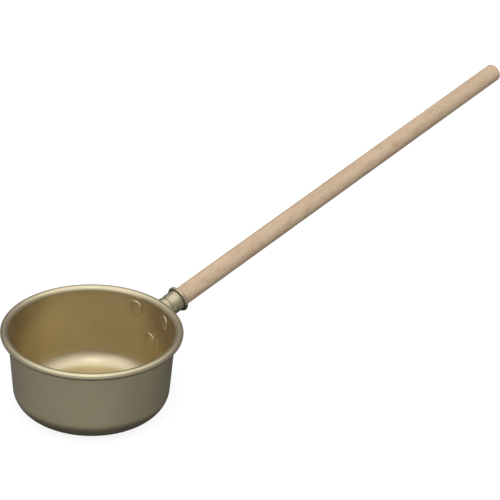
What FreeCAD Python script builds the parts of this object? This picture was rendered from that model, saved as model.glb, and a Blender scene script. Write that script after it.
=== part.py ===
import FreeCAD, Part
import math
import os

# Long-handled dipper: a drawn aluminium cup with a rolled rim, a pressed socket held on by three rivets,
# and a wooden dowel nailed into the socket. Millimetres. The origin is the centre of the cup's flat
# underside, +Z points up, and the handle leaves the cup towards +X.

os.makedirs("parts", exist_ok=True)

# Cup
SHEET = 1.0                 # thickness of the cup's sheet
CUP_HEIGHT = 78.0           # underside to the top of the rim
RIM_RADIUS = 82.7           # outermost radius of the rolled rim
CURL_RADIUS = 3.2           # outer radius of the rim's roll, in section
CURL_END = -140.0           # the roll stops at this angle in section, under the rim, just off the wall
BASE_RADIUS = 52.6          # flat part of the underside
CORNER_RADIUS = 19.0        # outer radius between the base and the wall
WALL_LEAN = 4.3             # the wall leans out from the vertical, degrees
FLARE_RADIUS = 4.0          # the wall bends out at this radius on its way into the roll

# Socket, and the axis that it shares with the handle. Distances along the axis start at its foot.
AXIS_RISE = 12.6            # the axis climbs from the horizontal, degrees
AXIS_FOOT_RADIUS = 75.5     # the axis crosses the wall's outside at this distance from the cup's axis
AXIS_FOOT_HEIGHT = 60.1     # and at this height
FLANGE_SHEET = 1.5          # thickness of the flange against the wall
FLANGE_EDGE = 7.6           # from each rivet's centre to the flange's edge
FLANGE_ROOT = 0.6           # fillet between the flange and the tube
TUBE_SHEET = 1.2            # thickness of the drawn tube
TUBE_ROOT = 4.0             # the tube starts this far behind the foot, and is trimmed to the wall
BORE_REACH = 8.0            # the bore is cut this far each way from the foot
MOUTH_AT = 33.2             # centre of the mouth's roll
MOUTH_CURL_RADIUS = 1.8     # outer radius of the mouth's roll, in section
MOUTH_CURL_TURN = 275.0     # how far round the mouth's edge is rolled, degrees
GROOVE_AT = 19.9            # middle of the groove rolled into the tube and the wood
GROOVE_DEPTH = 0.7
GROOVE_HOLLOW = 3.2         # radius of the groove's hollow, in section, at the middle of the sheet
GROOVE_SHOULDER = 1.6       # radius of its shoulders

# Rivets
RIVET_SPREAD = 14.7         # the upper rivets stand this far to each side of the handle, degrees
RIVET_UPPER_HEIGHT = 64.2
RIVET_LOWER_HEIGHT = 37.4
RIVET_HEAD_RADIUS = 6.7
RIVET_HEAD_RISE = 1.3       # top of the head above the cup's inner wall
RIVET_HEAD_CROWN = 0.3      # how much higher the head is in its middle than at its edge
RIVET_HEAD_EDGE = 0.9       # width of the rounding round the head
RIVET_SHANK_RADIUS = 2.5
RIVET_TAIL_RADIUS = 4.4
RIVET_TAIL_RISE = 2.0       # of the hammered end above the flange
RIVET_TAIL_CROWN = 0.5
RIVET_TAIL_EDGE = 1.6

# Handle
DOWEL_RADIUS = 9.0
DOWEL_SEAT_RADIUS = 8.85    # turned down where it sits in the socket
DOWEL_SHOULDER = 34.65      # where the seat starts to widen, in the lip of the mouth
DOWEL_SHOULDER_LENGTH = 0.5
DOWEL_START = 5.0           # inner end of the dowel, in the socket
DOWEL_END = 492.0           # free end of the dowel
DOWEL_CHAMFER = 1.0         # round the inner end
DOWEL_ROUND = 3.6           # round the free end

# Nail
NAIL_AT = 23.8              # between the groove and the mouth
NAIL_ANGLE = 85.0           # round the axis from straight up towards -Y, degrees
NAIL_HEAD_RADIUS = 1.3
NAIL_HEAD_RISE = 0.6
NAIL_HEAD_CROWN = 0.15
NAIL_HEAD_EDGE = 0.45
NAIL_SHANK_RADIUS = 0.8
NAIL_LENGTH = 9.0
NAIL_POINT = 2.0            # length of the nail's point

BUTTON_BED = 0.2            # how far a head's rounding would run on below its flat seat
CLEARANCE = 0.03            # all round the shanks in their holes and the dowel in the tube
OVERSHOOT = 5.0             # how far a cutting solid reaches past what it cuts

ORIGIN = FreeCAD.Vector(0, 0, 0)
X_AXIS = FreeCAD.Vector(1, 0, 0)
Z_AXIS = FreeCAD.Vector(0, 0, 1)
STRAIGHT = 0.0              # radius that marks a straight run in a path
FULL_TURN = 360.0
DIAGONAL = math.sqrt(0.5)   # sine and cosine of half a right angle

tube_bore_radius = DOWEL_SEAT_RADIUS + CLEARANCE
tube_middle_radius = tube_bore_radius + TUBE_SHEET / 2
tube_outer_radius = tube_bore_radius + TUBE_SHEET


def point(x, z):
    return FreeCAD.Vector(x, 0, z)


def heading_vector(degrees):
    return point(math.cos(math.radians(degrees)), math.sin(math.radians(degrees)))


def trace(start, heading, moves, offset=0.0):
    """Edges of a path in the XZ plane, shifted to the path's left by offset.

    A move is (STRAIGHT, length) or (radius, turn in degrees), a left turn being positive.
    """
    edges = []
    here = start
    for radius, amount in moves:
        left = heading_vector(heading + 90)
        first = here + left * offset
        if radius == STRAIGHT:
            here = here + heading_vector(heading) * amount
            edges.append(Part.LineSegment(first, here + left * offset).toShape())
            continue
        side = math.copysign(1, amount)
        centre = here + left * radius * side
        spoke = radius - offset * side
        middle = centre - heading_vector(heading + amount / 2 + 90) * spoke * side
        heading += amount
        left = heading_vector(heading + 90)
        here = centre - left * radius * side
        edges.append(Part.Arc(first, middle, here + left * offset).toShape())
    return edges


def polyline(points):
    return [Part.LineSegment(first, second).toShape() for first, second in zip(points, points[1:])]


def end_points(edges):
    return edges[0].firstVertex().Point, edges[-1].lastVertex().Point


def sheet_section(start, heading, moves, thickness):
    """Face of a bent sheet whose middle follows a path in the XZ plane."""
    one_side = trace(start, heading, moves, thickness / 2)
    other_side = trace(start, heading, moves, -thickness / 2)
    one_first, one_last = end_points(one_side)
    other_first, other_last = end_points(other_side)
    caps = polyline([one_last, other_last]) + polyline([other_first, one_first])
    return Part.Face(Part.Wire(Part.__sortEdges__(one_side + other_side + caps)))


def closed_section(edges):
    """Face inside edges that start and end on the X axis of the XZ plane."""
    first, last = end_points(edges)
    return Part.Face(Part.Wire(edges + polyline([last, first])))


def stand_on(shape, foot, direction):
    """Places a shape built along +X so that its origin is at foot and its X axis lies along direction."""
    placed = shape.copy()
    placed.Placement = FreeCAD.Placement(foot, FreeCAD.Rotation(X_AXIS, direction)).multiply(shape.Placement)
    return placed


# Where things are on the cup

corner_centre = point(BASE_RADIUS, CORNER_RADIUS)
curl_centre = point(RIM_RADIUS - CURL_RADIUS, CUP_HEIGHT - CURL_RADIUS)


def wall_point(height, outward=0.0):
    """Point in section at a height on the wall's outer face, or outward from it along its normal."""
    normal = heading_vector(-WALL_LEAN)
    foot = corner_centre + normal * (CORNER_RADIUS + outward)
    run = (height - foot.z) / math.cos(math.radians(WALL_LEAN))
    return foot + heading_vector(90 - WALL_LEAN) * run


def wall_normal(azimuth):
    """Outward normal of the wall at an azimuth."""
    return FreeCAD.Rotation(Z_AXIS, azimuth).multVec(heading_vector(-WALL_LEAN))


def on_wall(azimuth, height):
    """Point on the wall's outer face."""
    return FreeCAD.Rotation(Z_AXIS, azimuth).multVec(wall_point(height))


axis_direction = heading_vector(AXIS_RISE)
axis_foot = point(AXIS_FOOT_RADIUS, AXIS_FOOT_HEIGHT)
rivet_places = {
    "rivet_upper_left": (RIVET_SPREAD, RIVET_UPPER_HEIGHT),
    "rivet_upper_right": (-RIVET_SPREAD, RIVET_UPPER_HEIGHT),
    "rivet_lower": (0.0, RIVET_LOWER_HEIGHT),
}


# Cup

def cup_moves():
    """Floor, corner, wall, flare and roll, along the middle of the sheet.

    The flare and the roll bend the same way, round centres outside the wall, so the straight wall ends where
    those centres are FLARE_RADIUS less the roll's radius apart.
    """
    corner = CORNER_RADIUS - SHEET / 2
    roll = CURL_RADIUS - SHEET / 2
    wall_heading = 90 - WALL_LEAN
    wall_foot = corner_centre + heading_vector(-WALL_LEAN) * corner
    up_wall = heading_vector(wall_heading)
    flare_start = wall_foot + heading_vector(wall_heading - 90) * FLARE_RADIUS - curl_centre
    along = flare_start.dot(up_wall)
    across = flare_start.dot(flare_start) - (FLARE_RADIUS - roll) ** 2
    wall_length = -along - math.sqrt(along ** 2 - across)
    flare_to_roll = -(flare_start + up_wall * wall_length)
    meeting = math.degrees(math.atan2(flare_to_roll.z, flare_to_roll.x))
    return [
        (STRAIGHT, BASE_RADIUS),
        (corner, wall_heading),
        (STRAIGHT, wall_length),
        (FLARE_RADIUS, meeting - 90 - wall_heading),
        (roll, CURL_END - meeting),
    ]


def blank_cup():
    section = sheet_section(point(0, SHEET / 2), 0, cup_moves(), SHEET)
    return section.revolve(ORIGIN, Z_AXIS, FULL_TURN)


def cup_filled(outward=0.0):
    """Solid cone with the wall's outer face, or one outward from it, for trimming what stands on the wall."""
    low = wall_point(0, outward)
    high = wall_point(CUP_HEIGHT, outward)
    return Part.makeCone(low.x, high.x, CUP_HEIGHT)


# Rivets

def rivet_hole(azimuth, height):
    reach = SHEET + FLANGE_SHEET + 2 * OVERSHOOT
    hole = Part.makeCylinder(RIVET_SHANK_RADIUS + CLEARANCE, reach, ORIGIN, X_AXIS)
    hole.translate(X_AXIS * -reach / 2)
    return stand_on(hole, on_wall(azimuth, height), wall_normal(azimuth))


def button(radius, rise, crown, edge):
    """Low round head along +X, its top at -rise, running into what it sits on so that it can be trimmed.

    The crown is a shallow arc, which halfway out has fallen a quarter of its height.
    """
    shoulder = point(crown - rise, radius - edge)
    shoulder_middle = point(crown / 4 - rise, shoulder.z / 2)
    foot = point(BUTTON_BED, radius)
    rounding = foot - shoulder
    rounding_middle = shoulder + point(rounding.x * (1 - DIAGONAL), rounding.z * DIAGONAL)
    inside = point(OVERSHOOT, radius)
    edges = [
        Part.Arc(point(-rise, 0), shoulder_middle, shoulder).toShape(),
        Part.Arc(shoulder, rounding_middle, foot).toShape(),
        *polyline([foot, inside, point(OVERSHOOT, 0)]),
    ]
    return closed_section(edges).revolve(ORIGIN, X_AXIS, FULL_TURN)


def rivet(azimuth, height):
    """Rivet with its low head pressed to the inside of the wall and its hammered end to the flange."""
    spot = on_wall(azimuth, height)
    outward = wall_normal(azimuth)
    head = button(RIVET_HEAD_RADIUS, RIVET_HEAD_RISE, RIVET_HEAD_CROWN, RIVET_HEAD_EDGE)
    head = stand_on(head, spot - outward * SHEET, outward).common(cup_filled(-SHEET))
    tail = button(RIVET_TAIL_RADIUS, RIVET_TAIL_RISE, RIVET_TAIL_CROWN, RIVET_TAIL_EDGE)
    tail = stand_on(tail, spot + outward * FLANGE_SHEET, outward * -1).cut(cup_filled(FLANGE_SHEET))
    inner_end = SHEET + RIVET_HEAD_RISE / 2
    length = inner_end + FLANGE_SHEET + RIVET_TAIL_RISE / 2
    shank = Part.makeCylinder(RIVET_SHANK_RADIUS, length, spot - outward * inner_end, outward)
    return head.fuse(shank).fuse(tail).removeSplitter()


# Socket

def tube_moves():
    """Tube, groove, tube and rolled mouth, along the middle of the sheet."""
    groove_turn = math.degrees(math.acos(1 - GROOVE_DEPTH / (GROOVE_HOLLOW + GROOVE_SHOULDER)))
    groove_half = (GROOVE_HOLLOW + GROOVE_SHOULDER) * math.sin(math.radians(groove_turn))
    before_groove = TUBE_ROOT + GROOVE_AT - groove_half
    after_groove = MOUTH_AT - GROOVE_AT - groove_half
    return [
        (STRAIGHT, before_groove),
        (GROOVE_SHOULDER, -groove_turn),
        (GROOVE_HOLLOW, 2 * groove_turn),
        (GROOVE_SHOULDER, -groove_turn),
        (STRAIGHT, after_groove),
        (MOUTH_CURL_RADIUS - TUBE_SHEET / 2, MOUTH_CURL_TURN),
    ]


def flange():
    """Plate on the wall with three rounded corners, one round each rivet."""
    corners = []
    for azimuth, height in rivet_places.values():
        spot = on_wall(azimuth, height)
        corners.append(FreeCAD.Vector(0, spot.y, spot.z))
    triangle = Part.makePolygon(corners + corners[:1])
    outline = Part.Face(triangle.makeOffset2D(FLANGE_EDGE))
    block = outline.extrude(X_AXIS * (RIM_RADIUS + OVERSHOOT))
    return block.common(cup_filled(FLANGE_SHEET)).cut(cup_filled()).cut(blank_cup())


def on_tube_root(edge):
    """True for an edge where the tube's outside meets the flange's outer face."""
    spot = edge.valueAt((edge.FirstParameter + edge.LastParameter) / 2)
    from_foot = spot - axis_foot
    from_axis = from_foot - axis_direction * from_foot.dot(axis_direction)
    above_wall = math.hypot(spot.x, spot.y) - wall_point(spot.z, FLANGE_SHEET).x
    return abs(from_axis.Length - tube_outer_radius) < CLEARANCE and abs(above_wall) < CLEARANCE


def socket():
    section = sheet_section(point(-TUBE_ROOT, tube_middle_radius), 0, tube_moves(), TUBE_SHEET)
    tube = stand_on(section.revolve(ORIGIN, X_AXIS, FULL_TURN), axis_foot, axis_direction)
    bore = Part.makeCylinder(tube_bore_radius, 2 * BORE_REACH, point(-BORE_REACH, 0), X_AXIS)
    body = flange().cut(stand_on(bore, axis_foot, axis_direction))
    body = body.fuse(tube.cut(cup_filled())).removeSplitter()
    body = body.makeFillet(FLANGE_ROOT, [edge for edge in body.Edges if on_tube_root(edge)])
    for place in rivet_places.values():
        body = body.cut(rivet_hole(*place))
    return body.cut(nail_shank(-OVERSHOOT, CLEARANCE))


# Nail

def place_nail(shape):
    """Stands a shape on the tube's outside at the nail's place, pointing at the tube's axis."""
    outward = FreeCAD.Rotation(axis_direction, NAIL_ANGLE).multVec(heading_vector(AXIS_RISE + 90))
    foot = axis_foot + axis_direction * NAIL_AT + outward * tube_outer_radius
    return stand_on(shape, foot, outward * -1)


def nail_shank(start, clearance=0.0):
    """Shank and point of the nail from start, or the hole round them."""
    straight = NAIL_LENGTH - NAIL_POINT
    radius = NAIL_SHANK_RADIUS + clearance
    shank = Part.makeCylinder(radius, straight - start, point(start, 0), X_AXIS)
    tip = Part.makeCone(radius, 0, NAIL_POINT + clearance, point(straight, 0), X_AXIS)
    return place_nail(shank.fuse(tip).removeSplitter())


def nail():
    """Nail with a low round head pressed to the tube's curve."""
    head = place_nail(button(NAIL_HEAD_RADIUS, NAIL_HEAD_RISE, NAIL_HEAD_CROWN, NAIL_HEAD_EDGE))
    under_head = Part.makeCylinder(tube_outer_radius, MOUTH_AT, ORIGIN, X_AXIS)
    head = head.cut(stand_on(under_head, axis_foot, axis_direction))
    return head.fuse(nail_shank(-NAIL_HEAD_RISE / 2)).removeSplitter()


# Handle

def dowel():
    """Dowel with a turned-down, chamfered seat, the groove pressed into it and a rounded free end."""
    seat = trace(point(-TUBE_ROOT, tube_middle_radius), 0, tube_moves()[:-1], -TUBE_SHEET / 2 - CLEARANCE)
    groove = seat[1:-1]
    groove_first, groove_last = end_points(groove)
    inner_end = [
        point(DOWEL_START, 0),
        point(DOWEL_START, DOWEL_SEAT_RADIUS - DOWEL_CHAMFER),
        point(DOWEL_START + DOWEL_CHAMFER, DOWEL_SEAT_RADIUS),
        groove_first,
    ]
    round_start = point(DOWEL_END - DOWEL_ROUND, DOWEL_RADIUS)
    round_end = point(DOWEL_END, DOWEL_RADIUS - DOWEL_ROUND)
    round_middle = round_start + point(DIAGONAL, DIAGONAL - 1) * DOWEL_ROUND
    shoulder = point(DOWEL_SHOULDER, DOWEL_SEAT_RADIUS)
    shoulder_end = point(DOWEL_SHOULDER + DOWEL_SHOULDER_LENGTH, DOWEL_RADIUS)
    edges = [
        *polyline(inner_end),
        *groove,
        *polyline([groove_last, shoulder, shoulder_end, round_start]),
        Part.Arc(round_start, round_middle, round_end).toShape(),
        *polyline([round_end, point(DOWEL_END, 0)]),
    ]
    blank = closed_section(edges).revolve(ORIGIN, X_AXIS, FULL_TURN)
    return stand_on(blank, axis_foot, axis_direction).cut(nail_shank(-OVERSHOOT, CLEARANCE))


def cup():
    shape = blank_cup()
    for place in rivet_places.values():
        shape = shape.cut(rivet_hole(*place))
    return shape


# All pieces

pieces = {
    "pot_bowl": cup(),
    "handle_socket": socket(),
    "socket_nail": nail(),
    "wooden_handle": dowel(),
}
for name, place in rivet_places.items():
    pieces[name] = rivet(*place)

for name, shape in pieces.items():
    if not shape.isValid() or len(shape.Solids) != 1:
        raise ValueError(f"{name} isn't one valid solid")
    print(name, round(shape.Volume, 1), "mm3")
    shape.Solids[0].exportStep(f"parts/{name}.step")
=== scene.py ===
import cmath
import math

import bmesh
import bpy
import numpy as np
from mathutils import Matrix, Vector


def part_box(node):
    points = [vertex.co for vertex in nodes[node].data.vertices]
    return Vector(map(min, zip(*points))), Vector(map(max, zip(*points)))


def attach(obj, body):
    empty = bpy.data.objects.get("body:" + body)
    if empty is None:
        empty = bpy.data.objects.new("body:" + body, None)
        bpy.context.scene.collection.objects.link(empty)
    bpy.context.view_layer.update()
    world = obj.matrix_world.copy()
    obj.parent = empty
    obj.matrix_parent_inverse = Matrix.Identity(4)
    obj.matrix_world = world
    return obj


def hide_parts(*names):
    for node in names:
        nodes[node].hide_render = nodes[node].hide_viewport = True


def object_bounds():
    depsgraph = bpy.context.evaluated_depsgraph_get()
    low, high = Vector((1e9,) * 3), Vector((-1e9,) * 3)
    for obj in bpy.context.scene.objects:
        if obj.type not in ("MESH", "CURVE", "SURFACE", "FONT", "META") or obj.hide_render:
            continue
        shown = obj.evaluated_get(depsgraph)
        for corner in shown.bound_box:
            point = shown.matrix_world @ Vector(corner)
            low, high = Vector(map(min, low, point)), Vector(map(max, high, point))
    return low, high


# A long-handled dipper pot: gold-anodised aluminium cup and socket, three rivets, a beech dowel and a nail.
# Metres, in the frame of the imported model: +Z out of the cup's mouth, the handle towards +X.

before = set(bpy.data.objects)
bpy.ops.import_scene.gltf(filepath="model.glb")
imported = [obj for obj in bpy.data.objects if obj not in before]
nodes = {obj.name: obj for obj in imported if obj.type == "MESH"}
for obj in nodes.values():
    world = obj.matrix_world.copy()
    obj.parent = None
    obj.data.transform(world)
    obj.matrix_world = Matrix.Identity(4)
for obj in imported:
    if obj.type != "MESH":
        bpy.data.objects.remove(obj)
cad_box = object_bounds()

# Camera
VIEW_AZIMUTH = math.radians(-46.5)
VIEW_ELEVATION = math.radians(28.49)
VIEW_ROLL = math.radians(2.49)
VIEW_DISTANCE = 2.3495                          # from the point aimed at
AIM_OFFSET = Vector((-0.0201, 0.0141, -0.0136))     # of that point from the middle of the object's box
LENS = 175.9                                    # millimetres, on a sensor SENSOR_WIDTH wide
SENSOR_WIDTH = 36.0

# Cup
SHEET = 0.001
CURL_RADIUS = 0.0032
CURL_END = math.radians(-140)
BASE_RADIUS = 0.0526
CORNER_RADIUS = 0.019
WALL_LEAN = math.radians(4.3)
FLARE_RADIUS = 0.004

# Rivets, as the cup's wall dents round them
RIVET_SPREAD = math.radians(14.7)
RIVET_UPPER_HEIGHT = 0.0642
RIVET_LOWER_HEIGHT = 0.0374
RIVET_PLACES = [
    (RIVET_SPREAD, RIVET_UPPER_HEIGHT),
    (-RIVET_SPREAD, RIVET_UPPER_HEIGHT),
    (0.0, RIVET_LOWER_HEIGHT),
]
DENT_DEPTH = 0.00022
DENT_RADIUS = 0.0094                            # of the ring pressed in round each rivet
DENT_WIDTH = 0.0022

# Unevenness. Each wave of the rim is (share, number round the rim, phase); each wave of the dowel is
# (share, number round it, turn per metre along it, phase).
RIM_WAVE = 0.00012
RIM_WAVES = [(0.6, 3, 0.8), (0.4, 7, 2.1)]
DOWEL_WAVE = 0.004                              # of the dowel's radius
DOWEL_WAVES = [(0.5, 2, 9, 0.0), (0.5, 3, -23, 1.0)]
DOWEL_WAVE_START = 0.02                         # length over which the waves grow from the shoulder

# Handle, along an axis that starts at its foot on the cup's wall
AXIS_RISE = math.radians(12.6)
AXIS_FOOT = Vector((0.0755, 0, 0.0601))
DOWEL_RADIUS = 0.009
SEAT_RADIUS = 0.00885
SEAT_CHAMFER = 0.001
DOWEL_START = 0.005
DOWEL_END = 0.492
DOWEL_ROUND = 0.0036
SHOULDER_AT = 0.03465
SHOULDER_LENGTH = 0.0005
GROOVE_AT = 0.0199
GROOVE_DEPTH = 0.0007
GROOVE_HOLLOW = 0.00383
GROOVE_SHOULDER = 0.00097

# Meshes
FIT_MARGIN = 0.00002                            # kept inside the CAD box, whose round faces are facets
STRAIGHT = 0.0                                  # radius that marks a straight run in a path
ARC_STEP = math.radians(6)
RUN_STEP = 0.0025
CUP_SEGMENTS = 288
DOWEL_SEGMENTS = 96
END_RINGS = 4                                   # across the dowel's free end


# Outlines

def trace(start, moves, offset=0.0):
    """Points of a path in section, r + z*1j, shifted to the path's left by offset.

    A move is (STRAIGHT, length) or (radius, turn in radians), a left turn being positive.
    """
    here, heading = start, 0.0
    points = []
    for radius, amount in moves:
        if radius == STRAIGHT:
            run = cmath.rect(amount, heading)
            count = max(1, math.ceil(amount / RUN_STEP))
            shift = cmath.rect(offset, heading + math.pi / 2)
            points += [here + shift + run * i / count for i in range(count)]
            here += run
            continue
        side = math.copysign(1, amount)
        centre = here + cmath.rect(radius * side, heading + math.pi / 2)
        count = math.ceil(abs(amount) / ARC_STEP)
        for i in range(count):
            turned = heading + amount * i / count + math.pi / 2
            points.append(centre - cmath.rect((radius - offset * side) * side, turned))
        heading += amount
        here = centre - cmath.rect(radius * side, heading + math.pi / 2)
    points.append(here + cmath.rect(offset, heading + math.pi / 2))
    return points


def lathe(name, outline, segments):
    """Closed surface made by turning an outline, which starts and ends on the Z axis, about it."""
    turns = 2 * math.pi * np.arange(segments) / segments
    rings = np.array(outline[1:-1])
    circle = np.exp(1j * turns)
    plan = rings.real[:, None] * circle[None, :]
    height = np.repeat(rings.imag[:, None], segments, 1)
    points = np.stack([plan.real, plan.imag, height], -1).reshape(-1, 3)
    first, last = len(points), len(points) + 1
    points = np.vstack([points, [0, 0, outline[0].imag], [0, 0, outline[-1].imag]])
    faces = []
    for j in range(segments):
        after = (j + 1) % segments
        for i in range(len(rings) - 1):
            row, below = i * segments, (i + 1) * segments
            faces.append((row + j, row + after, below + after, below + j))
        end = (len(rings) - 1) * segments
        faces.append((first, after, j))
        faces.append((last, end + j, end + after))
    return new_mesh(name, points, faces)


def new_mesh(name, points, faces):
    mesh = bpy.data.meshes.new(name)
    mesh.from_pydata([tuple(p) for p in points], [], faces)
    shape = bmesh.new()
    shape.from_mesh(mesh)
    bmesh.ops.recalc_face_normals(shape, faces=shape.faces)
    shape.to_mesh(mesh)
    shape.free()
    mesh.shade_smooth()
    piece = bpy.data.objects.new(name, mesh)
    bpy.context.scene.collection.objects.link(piece)
    return piece


def vertex_array(piece):
    flat = np.zeros(len(piece.data.vertices) * 3)
    piece.data.vertices.foreach_get("co", flat)
    return flat.reshape(-1, 3)


def move_vertices(piece, points):
    piece.data.vertices.foreach_set("co", points.ravel())
    piece.data.update()


# Cup

def cup_outline(rim_radius, height):
    """Inside face from the axis out to the end of the rim's roll, and back along the outside face."""
    corner = CORNER_RADIUS - SHEET / 2
    roll = CURL_RADIUS - SHEET / 2
    wall_heading = math.pi / 2 - WALL_LEAN
    curl_centre = complex(rim_radius - CURL_RADIUS, height - CURL_RADIUS)
    wall_foot = complex(BASE_RADIUS, CORNER_RADIUS) + cmath.rect(corner, -WALL_LEAN)
    flare_start = wall_foot + cmath.rect(FLARE_RADIUS, wall_heading - math.pi / 2) - curl_centre
    along = (flare_start * cmath.rect(1, -wall_heading)).real
    across = abs(flare_start) ** 2 - (FLARE_RADIUS - roll) ** 2
    wall_length = -along - math.sqrt(along ** 2 - across)
    meeting = cmath.phase(-(flare_start + cmath.rect(wall_length, wall_heading)))
    moves = [
        (STRAIGHT, BASE_RADIUS),
        (corner, wall_heading),
        (STRAIGHT, wall_length),
        (FLARE_RADIUS, meeting - math.pi / 2 - wall_heading),
        (roll, CURL_END - meeting),
    ]
    start = complex(0, SHEET / 2)
    inside = trace(start, moves, SHEET / 2)
    outside = trace(start, moves, -SHEET / 2)
    return inside + outside[::-1]


def wall_radius(height):
    """Radius of the wall's outer face."""
    foot = complex(BASE_RADIUS, CORNER_RADIUS) + cmath.rect(CORNER_RADIUS, -WALL_LEAN)
    return foot.real + (height - foot.imag) * math.tan(WALL_LEAN)


def dented(points):
    """The cup's points with the wall pressed in round each rivet and the rim a little uneven."""
    azimuth = np.arctan2(points[:, 1], points[:, 0])
    height = points[:, 2]
    out = np.stack([np.cos(azimuth), np.sin(azimuth), np.zeros(len(points))], -1)
    push = np.zeros(len(points))
    for place, level in RIVET_PLACES:
        across = (azimuth - place) * wall_radius(level)
        away = np.hypot(across, height - level)
        push -= DENT_DEPTH * np.exp(-((away - DENT_RADIUS) / DENT_WIDTH) ** 2)
    uneven = sum(part * np.sin(count * azimuth + phase) for part, count, phase in RIM_WAVES)
    share = np.clip(height / height.max(), 0, 1) ** 2
    push -= RIM_WAVE * share * (1 + uneven) / 2
    moved = points + out * push[:, None]
    moved[:, 2] -= RIM_WAVE * share * (1 - uneven) / 2
    return moved


def make_cup():
    low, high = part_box("pot_bowl")
    rim_radius = min(high.x, -low.x) - FIT_MARGIN
    cup = lathe("cup", cup_outline(rim_radius, high.z - FIT_MARGIN), CUP_SEGMENTS)
    move_vertices(cup, dented(vertex_array(cup)))
    return cup


# Handle

def dowel_outline():
    """From the middle of the inner end to the middle of the free end, r + s*1j, s along the axis."""
    turn = math.acos(1 - GROOVE_DEPTH / (GROOVE_HOLLOW + GROOVE_SHOULDER))
    half = (GROOVE_HOLLOW + GROOVE_SHOULDER) * math.sin(turn)
    seat_start = DOWEL_START + SEAT_CHAMFER
    moves = [
        (STRAIGHT, GROOVE_AT - half - seat_start),
        (GROOVE_SHOULDER, -turn),
        (GROOVE_HOLLOW, 2 * turn),
        (GROOVE_SHOULDER, -turn),
        (STRAIGHT, SHOULDER_AT - GROOVE_AT - half),
    ]
    seat = [complex(p.imag, p.real) for p in trace(complex(seat_start, SEAT_RADIUS), moves)]
    free_end = DOWEL_END - FIT_MARGIN
    radius = DOWEL_RADIUS - FIT_MARGIN
    grip_start = SHOULDER_AT + SHOULDER_LENGTH
    grip_end = free_end - DOWEL_ROUND
    grip_count = math.ceil((grip_end - grip_start) / RUN_STEP)
    grip_step = (grip_end - grip_start) / grip_count
    grip = [complex(radius, grip_start + grip_step * i) for i in range(grip_count)]
    round_centre = complex(radius - DOWEL_ROUND, grip_end)
    round_count = math.ceil(math.pi / 2 / ARC_STEP)
    turns = [math.pi / 2 * i / round_count for i in range(round_count + 1)]
    rounding = [round_centre + cmath.rect(DOWEL_ROUND, turn) for turn in turns]
    shares = [1 - (i + 1) / END_RINGS for i in range(END_RINGS)]
    end_face = [complex(round_centre.real * share, free_end) for share in shares]
    inner_face = [complex(0, DOWEL_START), complex(SEAT_RADIUS - SEAT_CHAMFER, DOWEL_START)]
    return inner_face + seat + grip + rounding + end_face


def make_dowel():
    dowel = lathe("dowel", dowel_outline(), DOWEL_SEGMENTS)
    points = vertex_array(dowel)
    along = points[:, 2].copy()
    angle = np.arctan2(points[:, 1], points[:, 0])
    uneven = sum(part * np.sin(n * angle + twist * along + phase) for part, n, twist, phase in DOWEL_WAVES)
    share = np.clip((along - SHOULDER_AT) / DOWEL_WAVE_START, 0, 1)
    scale = 1 - DOWEL_WAVE * share * (1 + uneven) / 2
    points[:, :2] *= scale[:, None]
    move_vertices(dowel, points)
    turn = Matrix.Rotation(math.pi / 2 - AXIS_RISE, 4, "Y")
    dowel.data.transform(Matrix.Translation(AXIS_FOOT) @ turn)
    return dowel


# Materials

# Scales are in repeats of the noise per metre. A band maps a noise's values to shares.

# Anodised aluminium
GOLD = (0.665, 0.56, 0.35)
GOLD_DARK = tuple(channel * 0.93 for channel in GOLD)
GOLD_LIGHT = tuple(channel * 1.05 for channel in GOLD)
WORN = (0.72, 0.68, 0.58)                       # rubbed spots
METALLIC = 0.9
BLOTCH_SCALE = 26
CLOUD_SCALE = 7
TONE_BAND = [(0.35, 0.0), (0.65, 1.0)]
SPECK_SCALE = 900
SPECK_BAND = [(0.68, 0.0), (0.76, 0.25)]
LINE_SCALES = {"Z": (90, 90, 2600), "X": (2600, 90, 90)}    # by the axis that the lines are turned about
BLOTCH_ROUGHNESS = 0.12
LINE_ROUGHNESS = 0.08
LINE_STRENGTH = 0.03
LINE_DEPTH = 0.00002
CUP_ROUGHNESS = 0.21
SOCKET_ROUGHNESS = 0.24
RIVET_ROUGHNESS = 0.29
CUP_SPREAD = 0.5                                # extra blur of reflections up the cup's wall
QUARTER_TURN = 0.25                             # from round the cup to up its wall

# Painted shade on the socket in the crease behind the roll of its mouth, in the same dark colour as faint
# scuffs all over
CREASE_SHADE_AND_SCUFF = (0.2, 0.17, 0.13)
SHADE_AND_SCUFF_ROUGHNESS = 0.25
CREASE_SHADE_AT = 0.0315                               # along the handle's axis, at the start of the roll
CREASE_SHADE_REACH = 0.004
CREASE_SHADE_BAND = [(0.2, 0.0), (0.4, 0.8), (0.5, 0.75), (0.65, 0.0)]    # share of painted shade over its reach, 0.5 at the start of the roll
PATCH_SCALE = 500
PATCH_SPREAD = 0.2                              # of the crease's edges, along the axis
SCUFF_SCALE = 220
SCUFF_BAND = [(0.4, 0.1), (0.65, 0.38)]

# Beech, with X along the handle's axis
BEECH_DARK = (0.715, 0.505, 0.313)
BEECH_LIGHT = (0.84, 0.615, 0.395)
BEECH_GRAIN = (0.60, 0.42, 0.26)
BEECH_MOTTLE = (0.60, 0.40, 0.23)
BEECH_RAY = (0.42, 0.28, 0.18)
BEECH_ROUGHNESS = 0.62
BEECH_SPECULAR = 0.3
GRAIN_SCALE = (6, 140, 140)
GRAIN_BAND = [(0.35, 0.55), (0.6, 0.0)]
STREAK_SCALE = (2.5, 45, 45)
STREAK_BAND = [(0.3, 0.0), (0.7, 1.0)]
MOTTLE_SCALE = (75, 190, 190)
MOTTLE_BAND = [(0.48, 0.0), (0.68, 0.6)]
RAY_SCALE = (420, 2600, 2600)
RAY_BAND = [(0.62, 0.0), (0.72, 1.0)]
RAY_SHARE = 0.4
GRAIN_STRENGTH = 0.3
GRAIN_DEPTH = 0.0001

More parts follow.
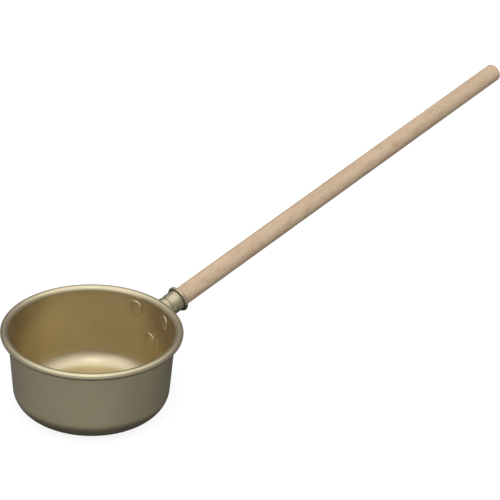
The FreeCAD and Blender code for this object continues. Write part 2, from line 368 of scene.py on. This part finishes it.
# Nail
STEEL_DARK = (0.14, 0.11, 0.08)
STEEL_LIGHT = (0.34, 0.28, 0.21)
STEEL_SCALE = 1800
STEEL_ROUGHNESS = 0.35
STEEL_SPREAD = 0.3                              # of roughness, from spot to spot


def node(tree, kind, inputs=None, **settings):
    """Adds a node. An input's value is a socket to link or a constant."""
    made = tree.nodes.new(kind)
    for name, value in settings.items():
        setattr(made, name, value)
    for key, value in (inputs or {}).items():
        if isinstance(value, bpy.types.NodeSocket):
            tree.links.new(value, made.inputs[key])
        else:
            made.inputs[key].default_value = value
    return made


def calc(tree, operation, *values):
    return node(tree, "ShaderNodeMath", dict(enumerate(values)), operation=operation).outputs[0]


def ramp(tree, value, stops):
    """Grey levels blended between (position, level) stops."""
    made = node(tree, "ShaderNodeValToRGB", {"Fac": value})
    elements = made.color_ramp.elements
    while len(elements) < len(stops):
        elements.new(0.5)
    for element, (position, level) in zip(elements, stops):
        element.position = position
        element.color = (level, level, level, 1)
    return made.outputs["Color"]


def mix(tree, share, first, second, blend="MIX"):
    """Blends two colours, each a socket or a constant."""
    first, second = ((*c, 1) if isinstance(c, tuple) else c for c in (first, second))
    inputs = {"Factor": share, "A": first, "B": second}
    made = tree.nodes.new("ShaderNodeMix")
    made.data_type = "RGBA"
    made.blend_type = blend
    for name, value in inputs.items():
        socket = next(s for s in made.inputs if s.name == name and (s.type == "RGBA") == (name != "Factor"))
        if isinstance(value, bpy.types.NodeSocket):
            tree.links.new(value, socket)
        else:
            socket.default_value = value
    return next(s for s in made.outputs if s.type == "RGBA")


def noise(tree, vector, scale, detail=2.0, roughness=0.5):
    inputs = {"Vector": vector, "Scale": scale, "Detail": detail, "Roughness": roughness}
    return node(tree, "ShaderNodeTexNoise", inputs).outputs["Fac"]


def new_material(name):
    material = bpy.data.materials.new(name)
    material.use_nodes = True
    tree = material.node_tree
    tree.nodes.clear()
    shader = node(tree, "ShaderNodeBsdfPrincipled")
    node(tree, "ShaderNodeOutputMaterial", {"Surface": shader.outputs[0]})
    return material, tree, shader


def link(tree, value, socket):
    tree.links.new(value, socket)


def object_vector(tree):
    return node(tree, "ShaderNodeTexCoord").outputs["Object"]


def axis_vector(tree):
    """Coordinates with X along the handle's axis from its foot."""
    turned = node(
        tree,
        "ShaderNodeMapping",
        {"Vector": object_vector(tree), "Location": tuple(AXIS_FOOT), "Rotation": (0, -AXIS_RISE, 0)},
        vector_type="TEXTURE",
    )
    return turned.outputs["Vector"]


def stretched(tree, vector, scale):
    """Coordinates scaled by a different amount along each axis."""
    return node(tree, "ShaderNodeMapping", {"Vector": vector, "Scale": scale}).outputs["Vector"]


def bump(tree, height, strength, distance):
    inputs = {"Height": height, "Strength": strength, "Distance": distance}
    return node(tree, "ShaderNodeBump", inputs).outputs["Normal"]


def anodised(name, vector_maker, turned_about, roughness, spread=0.0, shade_and_scuffs=None):
    """Satin anodised aluminium: blotchy tone, fine turned lines and small rubbed spots.

    A spread above 0 blurs reflections more along Z than round it. The last argument, if given, is a
    function that gives the share of painted shade and darker scuffs at each point.
    """
    material, tree, shader = new_material(name)
    place = vector_maker(tree)
    blotch = noise(tree, place, BLOTCH_SCALE, detail=3, roughness=0.6)
    cloud = noise(tree, place, CLOUD_SCALE)
    tone = ramp(tree, calc(tree, "MULTIPLY", calc(tree, "ADD", blotch, cloud), 0.5), TONE_BAND)
    speck = ramp(tree, noise(tree, place, SPECK_SCALE, detail=1), SPECK_BAND)
    base = mix(tree, speck, mix(tree, tone, GOLD_DARK, GOLD_LIGHT), WORN)
    lines = noise(tree, stretched(tree, place, LINE_SCALES[turned_about]), 1.0, roughness=0.6)
    rough = calc(tree, "MULTIPLY_ADD", blotch, BLOTCH_ROUGHNESS, roughness)
    rough = calc(tree, "MULTIPLY_ADD", lines, LINE_ROUGHNESS, rough)
    if shade_and_scuffs is not None:
        # Painted shade in the crease behind the socket's mouth, and darker scuffs, blended into the colour
        shade_and_scuff_share = shade_and_scuffs(tree, place)
        base = mix(tree, shade_and_scuff_share, base, CREASE_SHADE_AND_SCUFF)
        rough = calc(tree, "MULTIPLY_ADD", shade_and_scuff_share, SHADE_AND_SCUFF_ROUGHNESS, rough)
    if spread > 0:
        around = node(tree, "ShaderNodeTangent", direction_type="RADIAL", axis="Z").outputs["Tangent"]
        link(tree, around, shader.inputs["Tangent"])
        shader.inputs["Anisotropic"].default_value = spread
        shader.inputs["Anisotropic Rotation"].default_value = QUARTER_TURN
    link(tree, base, shader.inputs["Base Color"])
    link(tree, rough, shader.inputs["Roughness"])
    link(tree, bump(tree, lines, LINE_STRENGTH, LINE_DEPTH), shader.inputs["Normal"])
    shader.inputs["Metallic"].default_value = METALLIC
    return material


def socket_shade_and_scuffs(tree, place):
    """Painted shade in the crease behind the mouth's roll, and faint darker scuffs all over."""
    along = node(tree, "ShaderNodeSeparateXYZ", {0: place}).outputs["X"]
    reach = calc(tree, "MULTIPLY_ADD", along, 1 / CREASE_SHADE_REACH, 0.5 - CREASE_SHADE_AT / CREASE_SHADE_REACH)
    patchy = calc(tree, "MULTIPLY_ADD", noise(tree, place, PATCH_SCALE), PATCH_SPREAD, -PATCH_SPREAD / 2)
    crease = ramp(tree, calc(tree, "ADD", reach, patchy), CREASE_SHADE_BAND)
    scuffs = ramp(tree, noise(tree, place, SCUFF_SCALE, detail=3), SCUFF_BAND)
    return calc(tree, "MAXIMUM", crease, scuffs)


def beech():
    """Sanded beech: straight grain, soft streaks, brownish mottling and short dark rays."""
    material, tree, shader = new_material("sanded_beech")
    place = axis_vector(tree)
    grain = noise(tree, stretched(tree, place, GRAIN_SCALE), 1.0, detail=4, roughness=0.6)
    streak = noise(tree, stretched(tree, place, STREAK_SCALE), 1.0)
    mottle = noise(tree, stretched(tree, place, MOTTLE_SCALE), 1.0, detail=3, roughness=0.6)
    rays = ramp(tree, noise(tree, stretched(tree, place, RAY_SCALE), 1.0, detail=0), RAY_BAND)
    base = mix(tree, ramp(tree, streak, STREAK_BAND), BEECH_DARK, BEECH_LIGHT)
    base = mix(tree, ramp(tree, grain, GRAIN_BAND), base, BEECH_GRAIN)
    base = mix(tree, ramp(tree, mottle, MOTTLE_BAND), base, BEECH_MOTTLE)
    base = mix(tree, calc(tree, "MULTIPLY", rays, RAY_SHARE), base, BEECH_RAY)
    relief = calc(tree, "SUBTRACT", grain, rays)
    link(tree, base, shader.inputs["Base Color"])
    link(tree, bump(tree, relief, GRAIN_STRENGTH, GRAIN_DEPTH), shader.inputs["Normal"])
    shader.inputs["Roughness"].default_value = BEECH_ROUGHNESS
    shader.inputs["Specular IOR Level"].default_value = BEECH_SPECULAR
    return material


def nail_steel():
    """Dull brownish steel."""
    material, tree, shader = new_material("nail_steel")
    spots = noise(tree, object_vector(tree), STEEL_SCALE, detail=3, roughness=0.6)
    rough = calc(tree, "MULTIPLY_ADD", spots, STEEL_SPREAD, STEEL_ROUGHNESS)
    link(tree, mix(tree, spots, STEEL_DARK, STEEL_LIGHT), shader.inputs["Base Color"])
    link(tree, rough, shader.inputs["Roughness"])
    shader.inputs["Metallic"].default_value = 1.0
    return material


def dress(piece, material):
    piece.data.materials.clear()
    piece.data.materials.append(material)


# Studio. The metal mirrors grey levels that run from straight down, 0, to straight up, 1, and differ
# between the camera's side and the far side.

NEAR_SIDE = [
    (0, 0.02),
    (0.12, 0.04),
    (0.25, 0.34),
    (0.33, 0.27),
    (0.4, 0.2),
    (0.52, 0.19),
    (0.65, 0.3),
    (0.77, 0.36),
    (0.87, 0.58),
    (1, 0.72),
]
FAR_SIDE = [
    (0, 0.02),
    (0.12, 0.0),
    (0.25, 0.02),
    (0.4, 0.13),
    (0.52, 0.07),
    (0.65, 0.07),
    (0.77, 0.13),
    (0.86, 0.3),
    (0.93, 0.7),
    (1, 0.74),
]
SKY_STRENGTH = 2.0
SKY_TINT = (0.965, 1.0, 1.07)                   # slightly cool
SKY_TURN = math.radians(-10)                    # of the near side's middle, to the camera's left
BACKDROP_GREY = (0.5, 0.5, 0.5)                 # white at SKY_STRENGTH

OVERHEAD_ELEVATION = math.radians(68)
OVERHEAD_DISTANCE = 1.3
OVERHEAD_SIZE = 0.42
OVERHEAD_POWER = 0.45

FILL_TURN = math.radians(-45)                   # from the camera, to its left
FILL_ELEVATION = math.radians(42)
FILL_DISTANCE = 1.5
FILL_SIZE = 1.0
FILL_POWER = 0.8

FLOOR_SIZE = 60
FLOOR_GREY = (0.25, 0.25, 0.25, 1)
WHITE = (1, 1, 1, 1)
FLOOR_GLOW = 0.85


def direction(azimuth, elevation):
    """From the object towards a place in the studio. Azimuth 0 is -Y, and it grows towards +X."""
    flat = math.cos(elevation)
    return Vector((math.sin(azimuth) * flat, -math.cos(azimuth) * flat, math.sin(elevation)))


def make_camera():
    low, high = cad_box
    back = direction(VIEW_AZIMUTH, VIEW_ELEVATION)
    aim = (low + high) / 2 + AIM_OFFSET
    data = bpy.data.cameras.new("camera")
    data.lens = LENS
    data.sensor_width = SENSOR_WIDTH
    camera = bpy.data.objects.new("camera", data)
    bpy.context.scene.collection.objects.link(camera)
    turn = (-back).to_track_quat("-Z", "Y").to_matrix().to_4x4() @ Matrix.Rotation(VIEW_ROLL, 4, "Z")
    camera.matrix_world = Matrix.Translation(aim + back * VIEW_DISTANCE) @ turn
    bpy.context.scene.camera = camera


def soft_light(name, azimuth, elevation, distance, size, power):
    """Disc that faces the object from a distance in metres, with its power in watts."""
    data = bpy.data.lights.new(name, "AREA")
    data.shape = "DISK"
    data.size = size
    data.energy = power
    data.color = SKY_TINT
    light = bpy.data.objects.new(name, data)
    bpy.context.scene.collection.objects.link(light)
    towards = direction(azimuth, elevation)
    turn = towards.to_track_quat("Z", "Y").to_matrix().to_4x4()
    light.matrix_world = Matrix.Translation(towards * distance) @ turn


def make_floor():
    """Large white floor that only the camera sees: the metal mirrors the studio and not the floor."""
    bpy.ops.mesh.primitive_plane_add(size=FLOOR_SIZE)
    floor = bpy.context.active_object
    floor.name = "floor"
    floor.visible_glossy = False
    floor.visible_diffuse = False
    floor.visible_shadow = False
    material = bpy.data.materials.new("floor")
    material.use_nodes = True
    tree = material.node_tree
    tree.nodes.clear()
    white = node(tree, "ShaderNodeBsdfDiffuse", {"Color": FLOOR_GREY})
    glow = node(tree, "ShaderNodeEmission", {"Color": WHITE, "Strength": FLOOR_GLOW})
    both = node(tree, "ShaderNodeAddShader", {0: white.outputs[0], 1: glow.outputs[0]})
    node(tree, "ShaderNodeOutputMaterial", {"Surface": both.outputs[0]})
    dress(floor, material)


def make_world():
    """White to the camera. To the metal, bright above, grey on the camera's side and dark on the other."""
    world = bpy.data.worlds.new("studio")
    world.use_nodes = True
    bpy.context.scene.world = world
    tree = world.node_tree
    tree.nodes.clear()
    way = node(tree, "ShaderNodeTexCoord").outputs["Generated"]
    lift = node(tree, "ShaderNodeSeparateXYZ", {0: way}).outputs["Z"]
    level = calc(tree, "MULTIPLY_ADD", lift, 0.5, 0.5)
    near = ramp(tree, level, NEAR_SIDE)
    far = ramp(tree, level, FAR_SIDE)
    side = tuple(direction(VIEW_AZIMUTH + SKY_TURN, 0))
    lean = node(tree, "ShaderNodeVectorMath", {0: way, 1: side}, operation="DOT_PRODUCT").outputs["Value"]
    lit = mix(tree, calc(tree, "MULTIPLY_ADD", lean, 0.5, 0.5), far, near)
    lit = mix(tree, 1.0, lit, SKY_TINT, "MULTIPLY")
    seen = node(tree, "ShaderNodeLightPath").outputs["Is Camera Ray"]
    colour = mix(tree, seen, lit, BACKDROP_GREY)
    backdrop = node(tree, "ShaderNodeBackground", {"Color": colour, "Strength": SKY_STRENGTH})
    node(tree, "ShaderNodeOutputWorld", {"Surface": backdrop.outputs[0]})


# All pieces

cup = make_cup()
dowel = make_dowel()
for piece, cad_node, slot in ((cup, "pot_bowl", "pot_aluminium"), (dowel, "wooden_handle", "handle_wood")):
    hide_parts(cad_node)
    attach(piece, "root")

dress(cup, anodised("anodised_cup", object_vector, "Z", CUP_ROUGHNESS, spread=CUP_SPREAD))
dress(dowel, beech())
socket_metal = anodised("anodised_socket", axis_vector, "X", SOCKET_ROUGHNESS, shade_and_scuffs=socket_shade_and_scuffs)
dress(nodes["handle_socket"], socket_metal)
rivet_metal = anodised("anodised_rivet", object_vector, "X", RIVET_ROUGHNESS)
for name in ("rivet_upper_left", "rivet_upper_right", "rivet_lower"):
    dress(nodes[name], rivet_metal)
dress(nodes["socket_nail"], nail_steel())

make_camera()
make_world()
make_floor()
soft_light("overhead", VIEW_AZIMUTH, OVERHEAD_ELEVATION, OVERHEAD_DISTANCE, OVERHEAD_SIZE, OVERHEAD_POWER)
soft_light("fill", VIEW_AZIMUTH + FILL_TURN, FILL_ELEVATION, FILL_DISTANCE, FILL_SIZE, FILL_POWER)
bpy.context.scene.view_settings.view_transform = "Standard"
